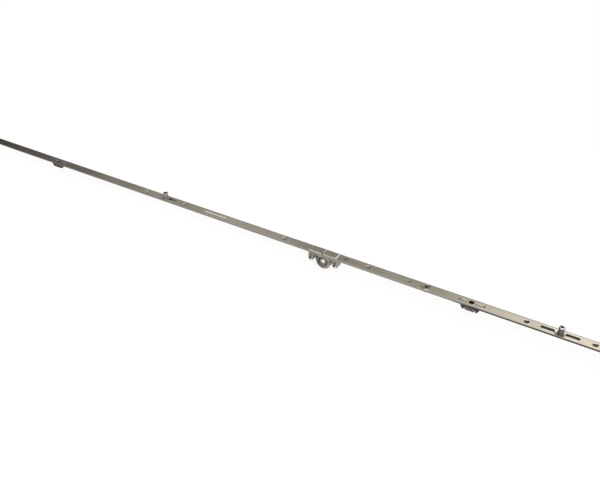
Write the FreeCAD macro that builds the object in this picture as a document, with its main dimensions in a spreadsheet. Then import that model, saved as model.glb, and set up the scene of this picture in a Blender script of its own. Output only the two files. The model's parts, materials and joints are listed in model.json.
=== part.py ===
import FreeCAD, Part
import math
import os
import Sketcher

# Window espagnolette: a drive gear behind a 16 mm strip, with a sliding rod and two locking cams.
# X runs along the strip towards its lower end, Y from the room towards the frame, Z out of the face.
# The origin is the centre of the handle's square hole, at the middle of the strip's width.
# Every size is in millimetres.

document = FreeCAD.newDocument("Espagnolette")
sheet = document.addObject("Spreadsheet::Sheet", "Sizes")

# Driving sizes, each with the thing that it measures
SIZES = [
    # Strip
    ("strip_width", 16.0),
    ("strip_thickness", 2.8),
    ("strip_above", 805.0),
    ("strip_below", 468.0),
    ("strip_arris", 0.35),
    ("strip_corner", 1.0),
    ("backset", 15.0),
    # Places along the strip, measured from the handle's axis
    ("upper_station", -324.8),
    ("lower_station", 354.0),
    ("station_screw_offset", 43.6),
    ("gear_screw_offset", 74.5),
    ("upper_end_screw", -793.0),
    ("lower_end_screw", 456.0),
    ("upper_packer_place", -602.0),
    ("lower_packer_place", 234.8),
    ("sight_slot_place", -213.8),
    ("upper_guide_place", -718.0),
    ("middle_guide_place", -136.3),
    ("eyelet_place", 168.0),
    ("centering_pin_place", 37.4),
    ("gauge_hole_place", 142.2),
    # Holes in the strip
    ("screw_hole", 5.2),
    ("screw_sink", 1.4),
    ("cam_slot_length", 51.0),
    ("cam_slot_width", 5.6),
    ("sight_slot_length", 46.0),
    ("sight_slot_width", 3.0),
    ("gauge_hole", 3.4),
    ("gauge_sink", 0.4),
    ("packer_screw_hole", 7.0),
    ("packer_screw_sink", 0.4),
    ("packer_gauge_offset", 17.6),
    ("dimple_offset", 11.2),
    ("dimple_length", 6.4),
    ("dimple_width", 3.2),
    ("dimple_depth", 0.5),
    # Drive rod
    ("rod_width", 10.0),
    ("rod_thickness", 2.5),
    ("rod_above", 770.0),
    ("rod_below", 436.0),
    ("rod_gap", 0.1),
    ("rod_play", 0.15),
    ("rod_slot_width", 5.2),
    ("sight_rod_slot_width", 3.6),
    ("stroke", 17.0),
    ("stroke_spare", 0.7),
    ("serration_pitch", 2.5),
    ("serration_depth", 1.0),
    # Gear
    ("tooth_root_width", 2.2),
    ("tooth_tip_width", 1.6),
    ("tooth_above_pitch", 0.68),
    ("tooth_below_pitch", 1.52),
    ("window_play", 0.8),
    ("gear_width", 4.2),
    ("gear_offset", 0.9),
    ("gear_play", 0.2),
    ("hub_radius", 7.0),
    ("hub_play", 0.05),
    ("hub_set_back", 0.25),
    ("hub_nose", 11.6),
    ("spindle_square", 7.0),
    ("spindle_play", 0.1),
    ("hub_arris", 0.35),
    # Gear case
    ("case_half_depth", 6.0),
    ("cavity_play", 0.3),
    ("boss_wall", 1.0),
    ("boss_slope", 1.5),
    ("hub_sink", 0.6),
    ("hub_sink_depth", 1.8),
    ("web_gap_top", 8.2),
    ("post_spacing", 43.0),
    ("post_radius", 4.5),
    ("post_hole", 5.3),
    ("post_mouth", 2.4),
    ("lug_place", 16.0),
    ("lug_length", 6.0),
    ("lug_thickness", 0.8),
    ("close_play", 0.05),
    ("case_rivet_shank", 3.0),
    ("case_rivet_head", 4.6),
    ("case_rivet_head_height", 0.5),
    ("case_rivet_sink", 0.6),
    # Cover plate over the gear
    ("cover_half_length", 24.5),
    ("cover_thickness", 0.7),
    ("cover_end_slope", 1.9),
    ("cover_end_drop", 0.55),
    ("cover_side_slope", 1.5),
    ("cover_side_drop", 0.6),
    ("mark_width", 0.6),
    ("mark_depth", 0.3),
    ("mark_dot", 2.2),
    ("mark_dot_offset", 6.5),
    ("mark_dot_depth", 1.6),
    # Rivets and pins
    ("guide_shank", 4.0),
    ("guide_shoulder", 5.0),
    ("guide_head", 8.4),
    ("guide_head_height", 1.2),
    ("eyelet_flange", 14.8),
    ("eyelet_flange_height", 0.7),
    ("eyelet_rim", 0.55),
    ("eyelet_dish", 0.25),
    ("eyelet_bore", 3.8),
    ("eyelet_mouth", 4.8),
    ("eyelet_mouth_depth", 0.3),
    ("centering_pin", 4.0),
    ("centering_pin_sink", 0.2),
    ("packer_rivet_offset", 10.5),
    ("packer_rivet_length", 8.6),
    ("packer_rivet_width", 3.2),
    ("packer_rivet_shank", 2.8),
    ("packer_rivet_rise", 0.45),
    ("packer_rivet_seat", 2.4),
    # Packers
    ("packer_length", 27.0),
    ("packer_taper", 3.0),
    ("packer_straight", 3.4),
    ("packer_height", 8.0),
    ("packer_half_depth", 6.0),
    ("packer_pilot", 3.4),
    ("packer_notch_place", 7.6),
    ("packer_notch_width", 1.6),
    ("packer_notch_height", 2.6),
    ("packer_rib_pitch", 3.4),
    ("packer_rib", 1.0),
    ("packer_rib_depth", 1.2),
    # Locking cams
    ("cam_disc", 14.8),
    ("cam_disc_thickness", 0.9),
    ("cam_disc_bevel", 0.3),
    ("cam_float", 0.05),
    ("journal", 5.0),
    ("journal_play", 0.05),
    ("eccentric", 0.8),
    ("cam_pin", 6.0),
    ("roller_height", 8.0),
    ("roller_foot", 9.9),
    ("roller_foot_height", 0.9),
    ("roller_waist", 7.6),
    ("roller_waist_place", 4.6),
    ("roller_waist_round", 3.0),
    ("roller_crown", 9.0),
    ("roller_crown_height", 0.8),
    ("roller_crown_round", 0.4),
    ("cam_head_flats", 8.4),
    ("cam_head_height", 1.0),
    ("cam_head_bevel", 0.25),
    ("socket_flats", 4.0),
    ("socket_depth", 3.6),
    ("cam_washer", 9.0),
    ("cam_washer_thickness", 0.6),
    ("stud_foot", 7.2),
    ("stud_foot_height", 0.8),
]


class Length:
    """A number together with the formula on the sheet that gives it."""

    def __init__(self, text, number):
        self.text = text
        self.number = number

    def joined(self, sign, other, number):
        return Length("(" + self.text + " " + sign + " " + written(other) + ")", number)

    def __add__(self, other):
        return self.joined("+", other, self.number + plain(other))

    def __radd__(self, other):
        return self + other

    def __sub__(self, other):
        return self.joined("-", other, self.number - plain(other))

    def __rsub__(self, other):
        return other + (self * -1)

    def __mul__(self, other):
        return self.joined("*", other, self.number * plain(other))

    def __rmul__(self, other):
        return self * other

    def __truediv__(self, other):
        return self.joined("/", other, self.number / plain(other))

    def __neg__(self):
        return self * -1


def plain(value):
    """The bare number of a length, or of a number itself."""
    return value.number if isinstance(value, Length) else float(value)


def written(value):
    """The formula of a length, or a number as the sheet reads it."""
    return value.text if isinstance(value, Length) else repr(float(value))


class Named:
    """The sheet's lengths, each under its own name."""


size = Named()
for row, (name, number) in enumerate(SIZES, start=1):
    sheet.set("A" + str(row), name)
    sheet.set("B" + str(row), str(number))
    sheet.setAlias("B" + str(row), name)
    setattr(size, name, Length("Sizes." + name, number))
document.recompute()

# Heights and places that follow from the driving sizes
face = size.backset
strip_back = face - size.strip_thickness
rod_top = strip_back - size.rod_gap
rod_back = rod_top - size.rod_thickness
channel_floor = rod_back - size.rod_play
channel_half = size.rod_width / 2 + size.rod_play
half_strip = size.strip_width / 2
run_past = size.stroke + size.stroke_spare
packer_foot = strip_back - size.packer_height
disc_foot = face + size.cam_float
disc_top = disc_foot + size.cam_disc_thickness
pin_foot = disc_top + size.cam_float
roller_foot = pin_foot + size.cam_float
roller_top = roller_foot + size.roller_height
head_foot = roller_top + size.cam_float
head_top = head_foot + size.cam_head_height
washer_foot = rod_back - size.cam_washer_thickness

# The rack's windows lie on the gear's pitch circle, which touches the middle of the rod
TOOTH_COUNT = 16
pitch_radius = rod_back + size.rod_thickness / 2
rack_pitch = pitch_radius * (2 * math.pi / TOOTH_COUNT)
window_length = size.tooth_root_width + size.window_play
tip_radius = pitch_radius + size.tooth_above_pitch
root_radius = pitch_radius - size.tooth_below_pitch
gear_near_face = size.gear_offset - size.gear_width / 2
gear_far_face = size.gear_offset + size.gear_width / 2
cavity_near = gear_near_face - size.gear_play
cavity_far = gear_far_face + size.gear_play
cavity_radius = tip_radius + size.cavity_play
boss_radius = cavity_radius + size.boss_wall
hub_hole = size.hub_radius + size.hub_play
hub_far_face = size.case_half_depth - size.hub_set_back
hub_near_face = -hub_far_face
sink_floor = size.hub_sink_depth - size.case_half_depth
half_post_spacing = size.post_spacing / 2
case_half_length = half_post_spacing + size.post_radius
case_rivet_height = (size.post_hole / 2 + channel_floor) / 2

RACK_REACH = 6
SERRATIONS = 6
PACKER_WINDOWS = 4
TRIMS = []
STATIONS = {"upper": size.upper_station, "lower": size.lower_station}
PACKERS = {"upper": size.upper_packer_place, "lower": size.lower_packer_place}
GUIDES = [size.upper_guide_place, size.middle_guide_place]


def station_screws():
    """Places of the strip's screws on both sides of each cam."""
    return [place + side * size.station_screw_offset for place in STATIONS.values() for side in (-1, 1)]


def gear_screws():
    """Places of the strip's screws on both sides of the gear."""
    return [size.gear_screw_offset * side for side in (-1, 1)]


# Sketching and growing a sub-part

def new_body(label):
    body = document.addObject("PartDesign::Body", label)
    body.Label = label
    return body


def place_along(body, place):
    """Sets a sub-part at its place along the strip."""
    body.setExpression("Placement.Base.x", written(place))


def origin_feature(body, role):
    for feature in body.Origin.OriginFeatures:
        if feature.Role == role:
            return feature
    raise ValueError("no " + role + " in " + body.Label)


def new_sketch(body, plane, level):
    sketch = body.newObject("Sketcher::SketchObject", body.Name + "_outline")
    sketch.AttachmentSupport = [(origin_feature(body, plane + "_Plane"), "")]
    sketch.MapMode = "FlatFace"
    offset = -level if plane == "XZ" else level
    sketch.setExpression("AttachmentOffset.Base.z", written(offset))
    return sketch


def hold_distance(sketch, kind, item, end, value):
    """Holds one coordinate of a point of a sketch at a value from the sheet."""
    number = sketch.addConstraint(Sketcher.Constraint(kind, -1, 1, item, end, plain(value)))
    if isinstance(value, Length):
        sketch.setExpression("Constraints[" + str(number) + "]", value.text)


def hold_point(sketch, item, end, across, up):
    hold_distance(sketch, "DistanceX", item, end, across)
    hold_distance(sketch, "DistanceY", item, end, up)


def polygon(sketch, corners):
    """Draws a closed outline of straight lines through the corners."""
    points = [FreeCAD.Vector(plain(across), plain(up), 0) for across, up in corners]
    count = len(points)
    items = []
    for index in range(count):
        line = Part.LineSegment(points[index], points[(index + 1) % count])
        items.append(sketch.addGeometry(line))
    for index in range(count):
        following = items[(index + 1) % count]
        sketch.addConstraint(Sketcher.Constraint("Coincident", items[index], 2, following, 1))
        hold_point(sketch, items[index], 1, *corners[index])


def rectangle(sketch, left, right, low, high):
    polygon(sketch, [(left, low), (right, low), (right, high), (left, high)])


def circle(sketch, across, up, radius):
    centre = FreeCAD.Vector(plain(across), plain(up), 0)
    item = sketch.addGeometry(Part.Circle(centre, FreeCAD.Vector(0, 0, 1), plain(radius)))
    hold_point(sketch, item, 3, across, up)
    number = sketch.addConstraint(Sketcher.Constraint("Radius", item, plain(radius)))
    sketch.setExpression("Constraints[" + str(number) + "]", written(radius))


def oval(sketch, across, up, length, width):
    """Draws a round-ended slot that lies along the sketch's first axis."""
    radius = width / 2
    reach = length / 2 - radius
    ends = []
    for side, start in ((-1, 0.5), (1, -0.5)):
        centre = FreeCAD.Vector(plain(across) + side * plain(reach), plain(up), 0)
        round_end = Part.Circle(centre, FreeCAD.Vector(0, 0, 1), plain(radius))
        arc = Part.ArcOfCircle(round_end, start * math.pi, (start + 1) * math.pi)
        item = sketch.addGeometry(arc)
        hold_point(sketch, item, 3, across + side * reach, up)
        number = sketch.addConstraint(Sketcher.Constraint("Radius", item, plain(radius)))
        sketch.setExpression("Constraints[" + str(number) + "]", written(radius))
        ends.append(item)
    left, right = ends
    for first, first_end, second, second_end in ((left, 2, right, 1), (right, 2, left, 1)):
        start = sketch.getPoint(first, first_end)
        stop = sketch.getPoint(second, second_end)
        line = sketch.addGeometry(Part.LineSegment(start, stop))
        sketch.addConstraint(Sketcher.Constraint("Tangent", first, first_end, line, 1))
        sketch.addConstraint(Sketcher.Constraint("Tangent", line, 2, second, second_end))


def slab(body, kind, plane, low, high, draw):
    """Adds or cuts what a drawn outline covers between two levels."""
    grows = kind == "Pad"
    from_low = grows != (plane == "XZ")
    sketch = new_sketch(body, plane, low if from_low else high)
    draw(sketch)
    feature = body.newObject("PartDesign::" + kind, body.Name + "_" + kind.lower())
    feature.Profile = sketch
    feature.setExpression("Length", written(high - low))
    return feature


def grow(body, plane, low, high, draw):
    return slab(body, "Pad", plane, low, high, draw)


def cut(body, plane, low, high, draw):
    return slab(body, "Pocket", plane, low, high, draw)


def turn(body, corners):
    """Turns a half profile, given as radius and height, about the upright axis."""
    sketch = new_sketch(body, "XZ", Length("0", 0.0))
    polygon(sketch, corners)
    feature = body.newObject("PartDesign::Revolution", body.Name + "_turned")
    feature.Profile = sketch
    feature.ReferenceAxis = (origin_feature(body, "Z_Axis"), [""])
    feature.Angle = 360
    return feature


def repeat(body, feature, pattern, direction, count):
    """Repeats a feature in a row or around an axis and makes the pattern count."""
    repeated = body.newObject("PartDesign::" + pattern, body.Name + "_pattern")
    repeated.Originals = [feature]
    if pattern == "PolarPattern":
        repeated.Axis = (origin_feature(body, direction), [""])
        repeated.Angle = 360
    else:
        repeated.Direction = (origin_feature(body, direction), [""])
    repeated.Occurrences = count
    body.Tip = repeated
    return repeated


def ease_edges(body, kind, wanted, amount):
    """Chamfers or fillets the edges of the last feature that a test picks out."""
    document.recompute()
    base = body.Tip
    names = ["Edge" + str(number) for number, edge in enumerate(base.Shape.Edges, start=1) if wanted(edge)]
    if not names:
        raise ValueError("no edge to ease on " + body.Label)
    feature = body.newObject("PartDesign::" + kind, body.Name + "_" + kind.lower())
    feature.Base = (base, names)
    feature.setExpression("Size" if kind == "Chamfer" else "Radius", written(amount))
    return feature


def near(first, second, tolerance=0.001):
    return abs(first - plain(second)) < tolerance


def at_height(edge, height):
    """Says whether an edge lies flat at a height."""
    return near(edge.BoundBox.ZMin, height) and near(edge.BoundBox.ZMax, height)


def round_edge(edge, diameter, height):
    is_round = edge.Curve.TypeId == "Part::GeomCircle"
    return is_round and at_height(edge, height) and near(edge.Curve.Radius, diameter / 2)


# Strip

def make_faceplate():
    body = new_body("faceplate")

    def outline(sketch):
        corner = size.strip_corner
        left = -size.strip_above
        right = size.strip_below
        polygon(sketch, [
            (left + corner, -half_strip), (right - corner, -half_strip), (right, corner - half_strip),
            (right, half_strip - corner), (right - corner, half_strip), (left + corner, half_strip),
            (left, half_strip - corner), (left, corner - half_strip),
        ])

    def long_arris(edge):
        return at_height(edge, face) and edge.Length > plain(size.strip_below)

    def screw_rim(edge):
        return round_edge(edge, size.screw_hole, face)

    def packer_screw_rim(edge):
        return round_edge(edge, size.packer_screw_hole, face)

    def gauge_rim(edge):
        return round_edge(edge, size.gauge_hole, face)

    def holes(sketch):
        for place in station_screws() + gear_screws() + [size.upper_end_screw, size.lower_end_screw]:
            circle(sketch, place, 0, size.screw_hole / 2)
        for place in STATIONS.values():
            oval(sketch, place, 0, size.cam_slot_length, size.cam_slot_width)
        oval(sketch, size.sight_slot_place, 0, size.sight_slot_length, size.sight_slot_width)
        for place in PACKERS.values():
            circle(sketch, place, 0, size.packer_screw_hole / 2)
            for side in (-1, 1):
                circle(sketch, place + side * size.packer_gauge_offset, 0, size.gauge_hole / 2)
                rivet = place + side * size.packer_rivet_offset
                oval(sketch, rivet, 0, size.packer_rivet_length, size.packer_rivet_width)
        for place in GUIDES:
            circle(sketch, place, 0, size.guide_shank / 2)
        circle(sketch, size.eyelet_place, 0, size.guide_shoulder / 2)
        circle(sketch, size.centering_pin_place, 0, size.centering_pin / 2)
        circle(sketch, size.gauge_hole_place, 0, size.gauge_hole / 2)

    def lug_slots(sketch):
        half = size.lug_length / 2 + size.close_play
        outer = size.case_half_depth + size.close_play
        inner = size.case_half_depth - size.lug_thickness - size.close_play
        for along in (-1, 1):
            place = size.lug_place * along
            rectangle(sketch, place - half, place + half, inner, outer)
            rectangle(sketch, place - half, place + half, -outer, -inner)

    def dimple(sketch):
        place = size.eyelet_place - size.dimple_offset
        oval(sketch, place, 0, size.dimple_length, size.dimple_width)

    def mark_dot(sketch):
        circle(sketch, 0, -size.mark_dot_offset, size.mark_dot / 2)

    grow(body, "XY", strip_back, face, outline)
    ease_edges(body, "Chamfer", long_arris, size.strip_arris)
    cut(body, "XY", strip_back, face, holes)
    cut(body, "XY", strip_back, face, lug_slots)
    cut(body, "XY", face - size.dimple_depth, face, dimple)
    cut(body, "XY", face - size.mark_dot_depth, face, mark_dot)
    ease_edges(body, "Chamfer", screw_rim, size.screw_sink)
    ease_edges(body, "Chamfer", packer_screw_rim, size.packer_screw_sink)
    ease_edges(body, "Chamfer", gauge_rim, size.gauge_sink)
    return body


# Drive rod

def make_drive_rod():
    body = new_body("drive_rod")
    half_rod = size.rod_width / 2

    def outline(sketch):
        rectangle(sketch, -size.rod_above, size.rod_below, -half_rod, half_rod)

    def slots(sketch):
        screw_slot = size.rod_slot_width + 2 * run_past
        for place in station_screws() + gear_screws() + GUIDES + [size.eyelet_place]:
            oval(sketch, place, 0, screw_slot, size.rod_slot_width)
        packer_slot = 2 * size.packer_rivet_offset + size.packer_rivet_shank + 2 * run_past
        for place in PACKERS.values():
            oval(sketch, place, 0, packer_slot, size.rod_slot_width)
        sight_slot = size.sight_slot_length + 2 * run_past
        oval(sketch, size.sight_slot_place, 0, sight_slot, size.sight_rod_slot_width)
        for place in STATIONS.values():
            circle(sketch, place, 0, size.journal / 2 + size.journal_play)

    def rack_windows(sketch):
        for number in range(-RACK_REACH, RACK_REACH + 1):
            middle = rack_pitch * number
            rectangle(sketch, middle - window_length / 2, middle + window_length / 2, cavity_near, cavity_far)

    def serration(end, inward):
        def notch(sketch):
            for side in (-1, 1):
                first = end + inward * size.serration_pitch
                tip = first + inward * (size.serration_pitch / 2)
                last = first + inward * size.serration_pitch
                edge = half_rod * side
                depth = size.serration_depth * side
                polygon(sketch, [(first, edge + depth), (tip, edge - depth), (last, edge + depth)])
        return notch

    grow(body, "XY", rod_back, rod_top, outline)
    cut(body, "XY", rod_back, rod_top, slots)
    cut(body, "XY", rod_back, rod_top, rack_windows)
    for end, inward in ((-size.rod_above, 1), (size.rod_below, -1)):
        notch = cut(body, "XY", rod_back, rod_top, serration(end, inward))
        document.recompute()
        row = repeat(body, notch, "LinearPattern", "X_Axis", SERRATIONS)
        row.Reversed = inward < 0
        row.setExpression("Length", written(size.serration_pitch * (SERRATIONS - 1)))
        document.recompute()
    return body


# Gear that the handle turns

def make_follower_gear():
    body = new_body("follower_gear")

    def hub(sketch):
        circle(sketch, 0, 0, size.hub_radius)

    def nose(sketch):
        circle(sketch, 0, 0, size.hub_nose / 2)

    def root_disc(sketch):
        circle(sketch, 0, 0, root_radius)

    def tooth(sketch):
        root = size.tooth_root_width / 2
        tip = size.tooth_tip_width / 2
        polygon(sketch, [
            (-root, root_radius - root), (root, root_radius - root), (root, root_radius),
            (tip, tip_radius), (-tip, tip_radius), (-root, root_radius),
        ])

    def square(sketch):
        half = (size.spindle_square + size.spindle_play) / 2
        rectangle(sketch, -half, half, -half, half)

    def hub_arris(edge):
        at_end = near(edge.BoundBox.YMin, hub_near_face) and near(edge.BoundBox.YMax, hub_near_face)
        return at_end and edge.Curve.TypeId == "Part::GeomCircle"

    grow(body, "XZ", sink_floor, hub_far_face, hub)
    grow(body, "XZ", hub_near_face, sink_floor, nose)
    grow(body, "XZ", gear_near_face, gear_far_face, root_disc)
    one_tooth = grow(body, "XZ", gear_near_face, gear_far_face, tooth)
    document.recompute()
    repeat(body, one_tooth, "PolarPattern", "Y_Axis", TOOTH_COUNT)
    document.recompute()
    cut(body, "XZ", hub_near_face, hub_far_face, square)
    ease_edges(body, "Chamfer", hub_arris, size.hub_arris)
    return body


# Gear case, cast as two shells that meet at the middle of the strip's width

def case_plate(sketch):
    """The case's plate, cut away between each post and the round boss."""
    outer = case_half_length
    gap_outer = half_post_spacing - size.post_radius
    gap_inner = boss_radius
    quarter = (gap_outer - gap_inner) / 4
    shoulder = size.web_gap_top - quarter
    polygon(sketch, [
        (-outer, 0), (-gap_outer, 0), (-gap_outer, shoulder), (quarter - gap_outer, size.web_gap_top),
        (-gap_inner - quarter, size.web_gap_top), (-gap_inner, shoulder), (-gap_inner, 0),
        (gap_inner, 0), (gap_inner, shoulder), (gap_inner + quarter, size.web_gap_top),
        (gap_outer - quarter, size.web_gap_top), (gap_outer, shoulder), (gap_outer, 0), (outer, 0),
        (outer, strip_back), (-outer, strip_back),
    ])


def grow_case(body, low, high):
    """The outline that both shells share."""
    grow(body, "XZ", low, high, case_plate)
    grow(body, "XZ", low, high, lambda sketch: circle(sketch, 0, 0, boss_radius))
    for side in (-1, 1):
        place = half_post_spacing * side
        grow(body, "XZ", low, high, lambda sketch: circle(sketch, place, 0, size.post_radius))


def slope_boss(body, low):
    """Slopes the lower half of the round boss's edge, which faces the room."""
    sketch = new_sketch(body, "XY", Length("0", 0.0))
    inner = boss_radius - size.boss_slope
    polygon(sketch, [(inner, low), (boss_radius, low), (boss_radius, low + size.boss_slope)])
    feature = body.newObject("PartDesign::Groove", body.Name + "_slope")
    feature.Profile = sketch
    feature.ReferenceAxis = (origin_feature(body, "Y_Axis"), [""])
    feature.Angle = 180


def cut_posts(body, low, high):
    """Holes for the handle's screws, open downwards so that the gear can be slipped over them."""
    for side in (-1, 1):
        place = half_post_spacing * side
        cut(body, "XZ", low, high, lambda sketch: circle(sketch, place, 0, size.post_hole / 2))
        mouth = size.post_mouth / 2
        foot = -2 * size.post_radius
        cut(body, "XZ", low, high, lambda sketch: rectangle(sketch, place - mouth, place + mouth, foot, 0))


def trim_at_strip(body, low, high):
    """Takes away what little of the round boss stands above the strip's back."""
    reach = boss_radius + size.boss_wall

    def above(sketch):
        rectangle(sketch, -reach, reach, strip_back, face + reach)

    TRIMS.append(cut(body, "XZ", low, high, above))


def grow_lugs(body, low, high):
    """Lugs that stand up through the strip and hold the case to it."""
    for side in (-1, 1):
        left = size.lug_place * side - size.lug_length / 2
        right = left + size.lug_length
        grow(body, "XY", strip_back, face, lambda sketch: rectangle(sketch, left, right, low, high))


def cut_rivet_holes(body, low, high, sink_low, sink_high):
    """Holes for the rivets that join the shells, with a sink for each head."""
    for side in (-1, 1):
        place = half_post_spacing * side
        height = case_rivet_height
        shank = size.case_rivet_shank / 2
        head = size.case_rivet_head / 2 + size.close_play
        cut(body, "XZ", low, high, lambda sketch: circle(sketch, place, height, shank))
        cut(body, "XZ", sink_low, sink_high, lambda sketch: circle(sketch, place, height, head))


def rod_channel(sketch):
    rectangle(sketch, -channel_half, channel_half, channel_floor, strip_back)


def make_gear_case_near():
    body = new_body("gear_case_near")
    low = -size.case_half_depth
    high = Length("0", 0.0)

    grow_case(body, low, high)
    slope_boss(body, low)
    cut(body, "XZ", low, sink_floor, lambda sketch: circle(sketch, 0, 0, hub_hole + size.hub_sink))
    cut(body, "XZ", cavity_near, high, lambda sketch: circle(sketch, 0, 0, cavity_radius))
    cut(body, "XZ", low, high, lambda sketch: circle(sketch, 0, 0, hub_hole))
    cut_posts(body, low, high)
    cut_rivet_holes(body, low, high, low, low + size.case_rivet_sink)
    cut(body, "YZ", -case_half_length, case_half_length, rod_channel)
    trim_at_strip(body, low, high)
    grow_lugs(body, low, low + size.lug_thickness)
    return body


def make_gear_case_far():
    body = new_body("gear_case_far")
    low = Length("0", 0.0)
    high = size.case_half_depth
    grow_case(body, low, high)
    cut(body, "XZ", low, cavity_far, lambda sketch: circle(sketch, 0, 0, cavity_radius))
    cut(body, "XZ", low, high, lambda sketch: circle(sketch, 0, 0, hub_hole))
    cut_posts(body, low, high)
    cut_rivet_holes(body, low, high, high - size.case_rivet_sink, high)
    cut(body, "YZ", -case_half_length, case_half_length, rod_channel)
    trim_at_strip(body, low, high)
    grow_lugs(body, high - size.lug_thickness, high)
    return body


def make_gear_cover():
    """Pressed plate over the gear, with sloped edges, a centre line and a dot at its end."""
    body = new_body("gear_cover")
    top = face + size.cover_thickness
    end = size.cover_half_length

    def mark(sketch):
        half = size.mark_width / 2
        polygon(sketch, [(-half, top), (half, top), (0, top - size.mark_depth)])

    def mark_dot(sketch):
        circle(sketch, 0, -size.mark_dot_offset, size.mark_dot / 2)

    def plate(sketch):
        rectangle(sketch, -end, end, -half_strip, half_strip)

    def slopes(edge, width, drop):
        """Triangles to cut along both edges of the plate's section."""
        def draw(sketch):
            for side in (-1, 1):
                outer = edge * side
                inner = (edge - width) * side
                polygon(sketch, [(inner, top), (outer, top), (outer, top - drop)])
        return draw

    grow(body, "XY", face, top, plate)
    cut(body, "XZ", -half_strip, half_strip, slopes(end, size.cover_end_slope, size.cover_end_drop))
    cut(body, "YZ", -end, end, slopes(half_strip, size.cover_side_slope, size.cover_side_drop))
    cut(body, "XZ", -half_strip, half_strip, mark)
    cut(body, "XY", face, top, mark_dot)
    return body


# Rivets and pins that stay with the strip

def round_bar(label, radius, height):
    """A plain round bar along Z, as a primitive bound to the sheet."""
    bar = document.addObject("Part::Cylinder", label)
    bar.setExpression("Radius", written(radius))
    bar.setExpression("Height", written(height))
    return bar


def set_place(item, along, across, up):
    for axis, value in (("x", along), ("y", across), ("z", up)):
        item.setExpression("Placement.Base." + axis, written(value))


def joined(label, pieces):
    """Several primitives as one object: touching ones fuse, separate ones stay separate solids."""
    group = document.addObject("Part::MultiFuse", label)
    group.Label = label
    group.Shapes = pieces
    return group


def make_case_rivets():
    pieces = []
    sunk_face = size.case_half_depth - size.case_rivet_sink
    for side in (-1, 1):
        shank = round_bar("case_rivet_shank", size.case_rivet_shank / 2, 2 * sunk_face)
        set_place(shank, half_post_spacing * side, sunk_face, case_rivet_height)
        heads = []
        for level in (sunk_face + size.case_rivet_head_height, -sunk_face):
            head = round_bar("case_rivet_head", size.case_rivet_head / 2, size.case_rivet_head_height)
            set_place(head, half_post_spacing * side, level, case_rivet_height)
            heads.append(head)
        for piece in [shank] + heads:
            piece.Placement.Rotation = FreeCAD.Rotation(FreeCAD.Vector(1, 0, 0), 90)
        pieces += [shank] + heads
    return joined("case_rivets", pieces)


def make_guide_rivets():
    """Stepped rivets that hang the rod under the strip and let it slide."""
    pieces = []
    for place in GUIDES:
        shank = round_bar("guide_shank", size.guide_shank / 2, size.strip_thickness)
        set_place(shank, place, 0, strip_back)
        shoulder = round_bar("guide_shoulder", size.guide_shoulder / 2, strip_back - channel_floor)
        set_place(shoulder, place, 0, channel_floor)
        head = round_bar("guide_head", size.guide_head / 2, size.guide_head_height)
        set_place(head, place, 0, channel_floor - size.guide_head_height)
        pieces += [shank, shoulder, head]
    return joined("guide_rivets", pieces)


def make_guide_eyelet():
    """Hollow guide rivet with a wide dished flange on the strip's face."""
    body = new_body("guide_eyelet")
    bore = size.eyelet_bore / 2
    shank = size.guide_shoulder / 2
    flange = size.eyelet_flange / 2
    top = face + size.eyelet_flange_height
    foot = channel_floor - size.guide_head_height
    head = size.guide_head / 2
    rim = size.eyelet_rim
    dish = face + size.eyelet_dish
    turn(body, [
        (bore, foot), (head, foot), (head, channel_floor), (shank, channel_floor), (shank, face),
        (flange, face), (flange - rim, top), (flange - rim * 2, top), (flange - rim * 3, dish),
        (size.eyelet_mouth / 2, dish), (bore, face - size.eyelet_mouth_depth),
    ])
    place_along(body, size.eyelet_place)
    return body


def make_centering_pin():
    """Soft pin that holds the rod at mid-stroke until its first use, here already sheared."""
    bar = round_bar("centering_pin", size.centering_pin / 2, size.strip_thickness - size.centering_pin_sink)
    set_place(bar, size.centering_pin_place, 0, strip_back)
    return bar


def make_packer_rivets():
    """Rivets with an oval head in the strip and a round shank through the rod's slot into a packer."""
    pieces = []
    half_length = size.packer_rivet_length / 2
    half_width = size.packer_rivet_width / 2
    straight = half_length - half_width
    head_height = size.strip_thickness + size.packer_rivet_rise
    shank_foot = channel_floor - size.packer_rivet_seat
    for place in PACKERS.values():
        for side in (-1, 1):
            middle = place + side * size.packer_rivet_offset
            web = document.addObject("Part::Box", "packer_rivet_web")
            web.setExpression("Length", written(2 * straight))
            web.setExpression("Width", written(size.packer_rivet_width))
            web.setExpression("Height", written(head_height))
            set_place(web, middle - straight, -half_width, strip_back)
            shank = round_bar("packer_rivet_shank", size.packer_rivet_shank / 2, strip_back - shank_foot)
            set_place(shank, middle, 0, shank_foot)
            pieces += [web, shank]
            for end in (-1, 1):
                bar = round_bar("packer_rivet_end", half_width, head_height)
                set_place(bar, middle + end * straight, 0, strip_back)
                pieces.append(bar)
    return joined("packer_rivets", pieces)


# Packers

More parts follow.
